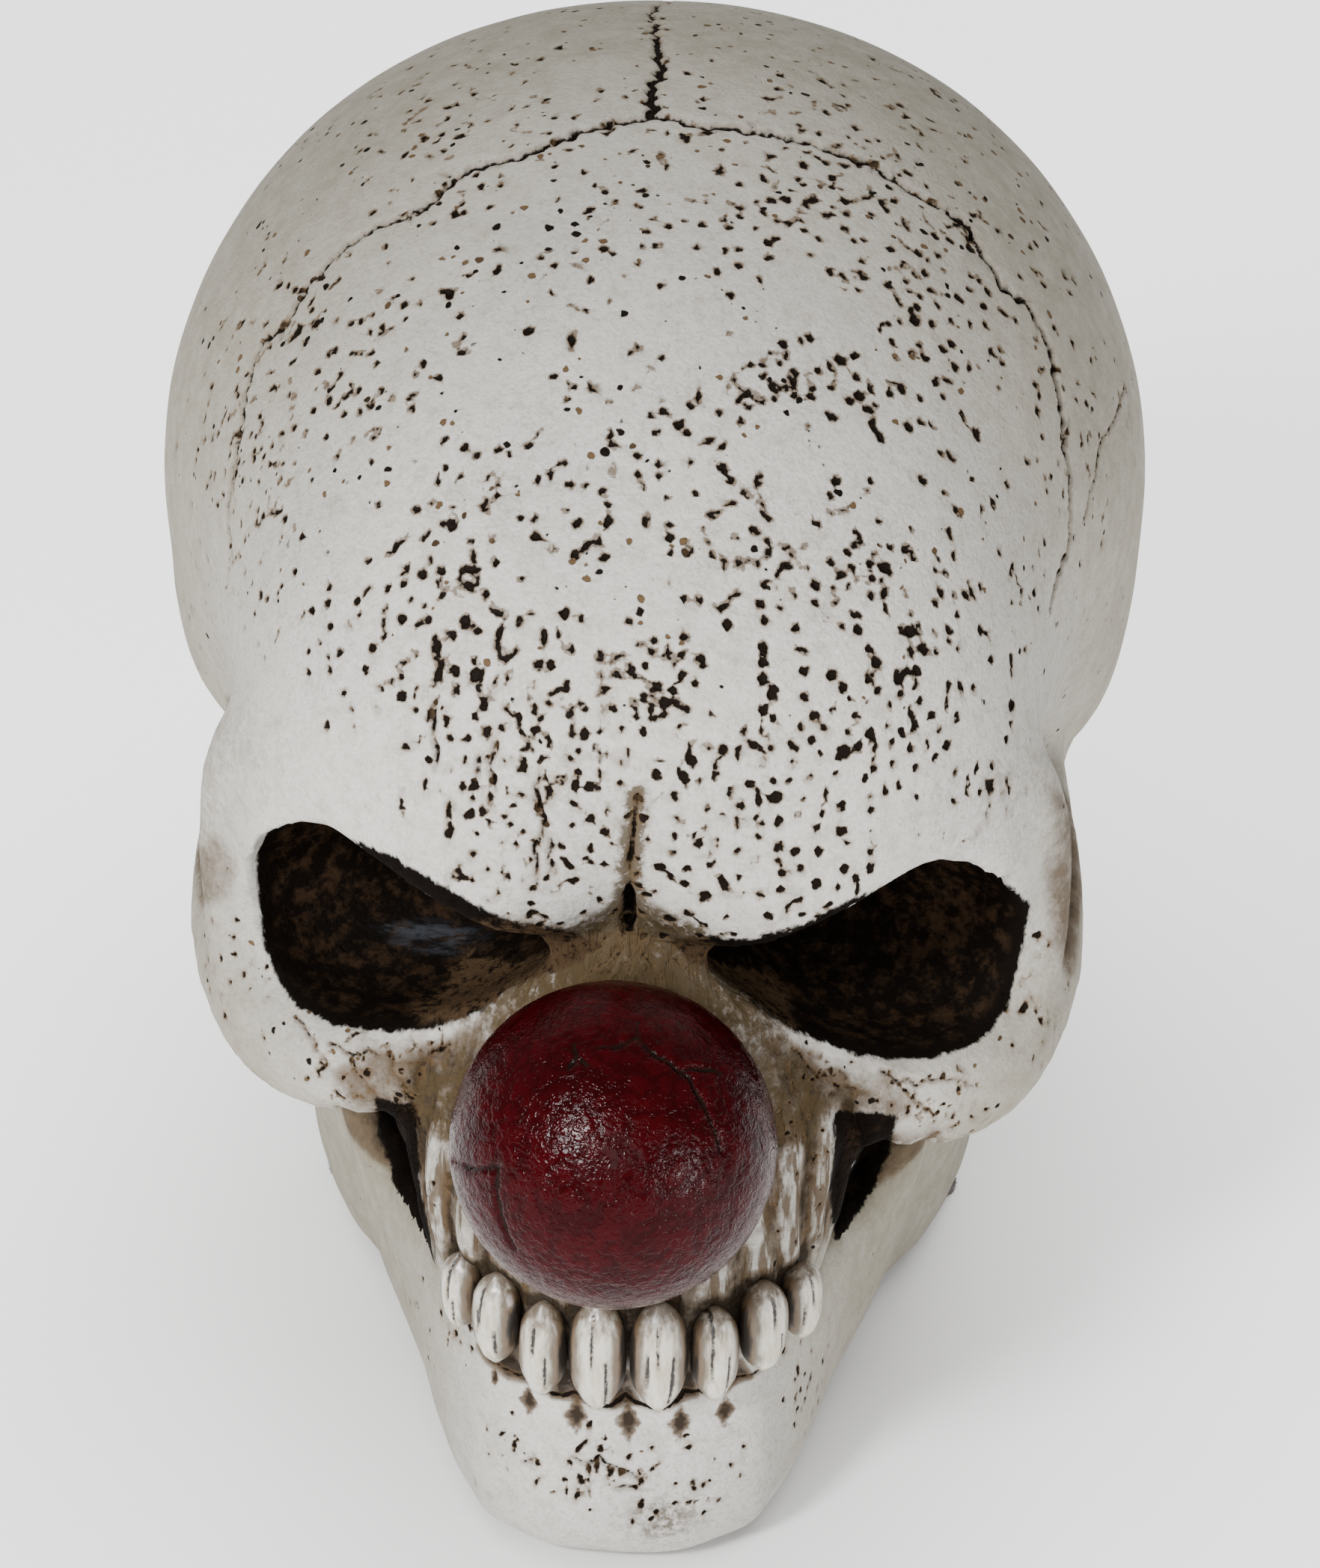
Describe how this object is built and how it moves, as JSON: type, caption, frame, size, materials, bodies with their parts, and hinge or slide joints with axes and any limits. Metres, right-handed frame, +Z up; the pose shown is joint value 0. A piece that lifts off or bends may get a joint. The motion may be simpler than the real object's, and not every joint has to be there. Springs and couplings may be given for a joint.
{
  "type": "clown skull ornament",
  "caption": "Cast skull ornament with scowling brows, deep eye sockets, a round dark red ball nose, a tapering jaw and a row of pointed upper teeth.",
  "frame": {"origin": "on the floor under the middle of the whole figure", "axes": "+Z up, the face looks along -Y, +X is the picture's right"},
  "size_m": [0.1222, 0.1944, 0.1572],
  "materials": {
    "skull_bone": "matt hand-painted bone with brown pits, cracks and ochre stains; near-black brown eye sockets",
    "jaw_bone": "matt hand-painted bone with brown and ochre stains",
    "tooth_ivory": "satin ivory with dark outlines and fine dark strokes",
    "nose_lacquer": "glossy dark maroon lacquer with fine crackle",
    "dowel_wood": "plain turned dowel",
    "plug_rubber": "soft matt stopper",
    "pad_felt": "felt"
  },
  "bodies": {
    "root": {"skull_shell": "skull_bone", "lower_jaw": "jaw_bone", "red_nose": "nose_lacquer", "nose_dowel": "dowel_wood", "left_jaw_dowel": "dowel_wood", "right_jaw_dowel": "dowel_wood", "base_plug": "plug_rubber", "chin_pad": "pad_felt", "left_jaw_pad": "pad_felt", "right_jaw_pad": "pad_felt", "left_central_incisor": "tooth_ivory", "right_central_incisor": "tooth_ivory", "left_lateral_incisor": "tooth_ivory", "right_lateral_incisor": "tooth_ivory", "left_canine": "tooth_ivory", "right_canine": "tooth_ivory", "left_first_premolar": "tooth_ivory", "right_first_premolar": "tooth_ivory"}
  },
  "joints": []
}
